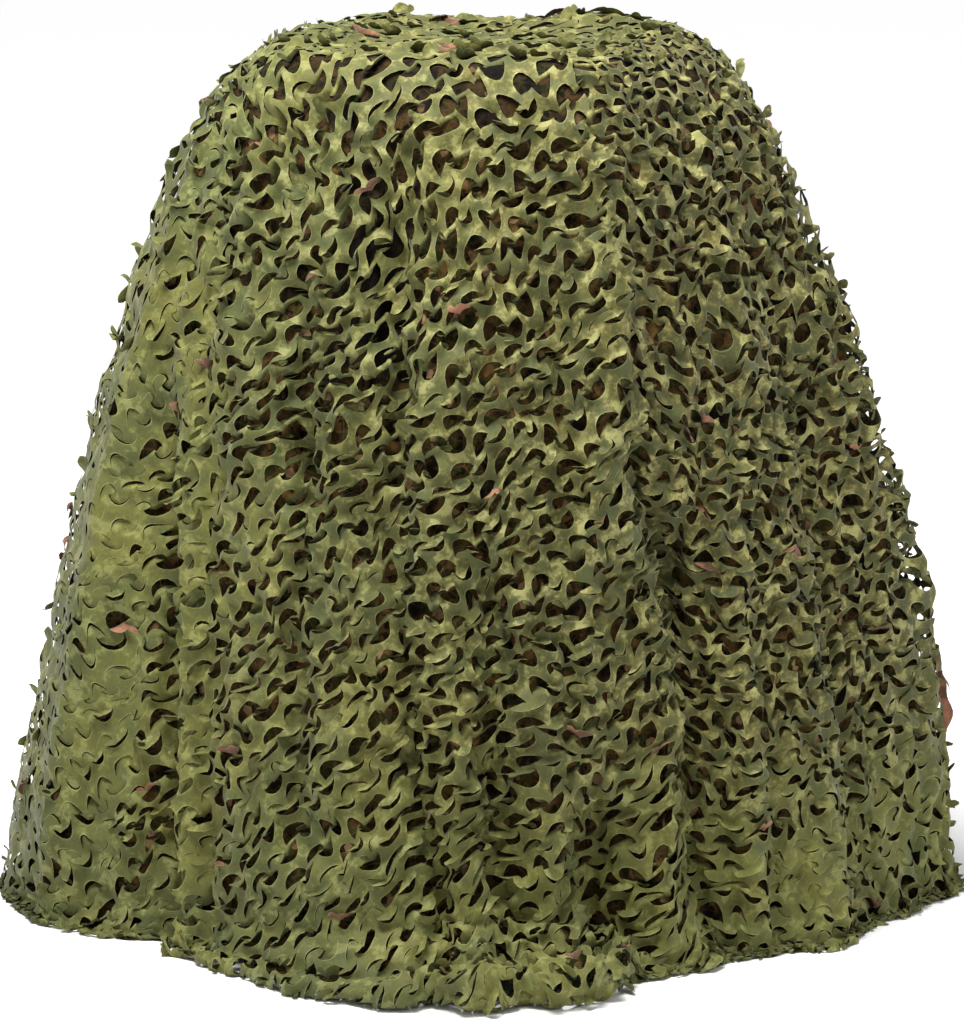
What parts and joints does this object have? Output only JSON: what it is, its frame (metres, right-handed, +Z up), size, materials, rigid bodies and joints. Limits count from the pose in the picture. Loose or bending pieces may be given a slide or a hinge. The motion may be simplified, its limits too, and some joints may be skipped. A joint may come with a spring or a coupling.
{
  "type": "camouflage net draped over a plain tall table",
  "caption": "Die-cut camouflage net in olive green, draped over a hidden square table so that it falls to the floor as a wide dome with soft folds and a pool of cloth in front.",
  "frame": {"origin": "floor level, at the middle of the footprint's bounding box, on which the hem and the table's feet stand", "axes": "+Z up; the front, with the pool of spare cloth, faces -Y; +X to the right, along the widest extent and the table's front edge"},
  "size_m": [1.2056, 1.0826, 1.1007],
  "materials": {
    "net_cloth": "matt olive green cloth with darker green and tan patches, brown on the back",
    "wood": "plain pale wood, satin"
  },
  "bodies": {
    "root": {"net": "net_cloth", "table_board": "wood", "leg_front_left": "wood", "leg_front_right": "wood", "leg_back_left": "wood", "leg_back_right": "wood", "rail_front": "wood", "rail_back": "wood", "rail_left": "wood", "rail_right": "wood"}
  },
  "joints": []
}
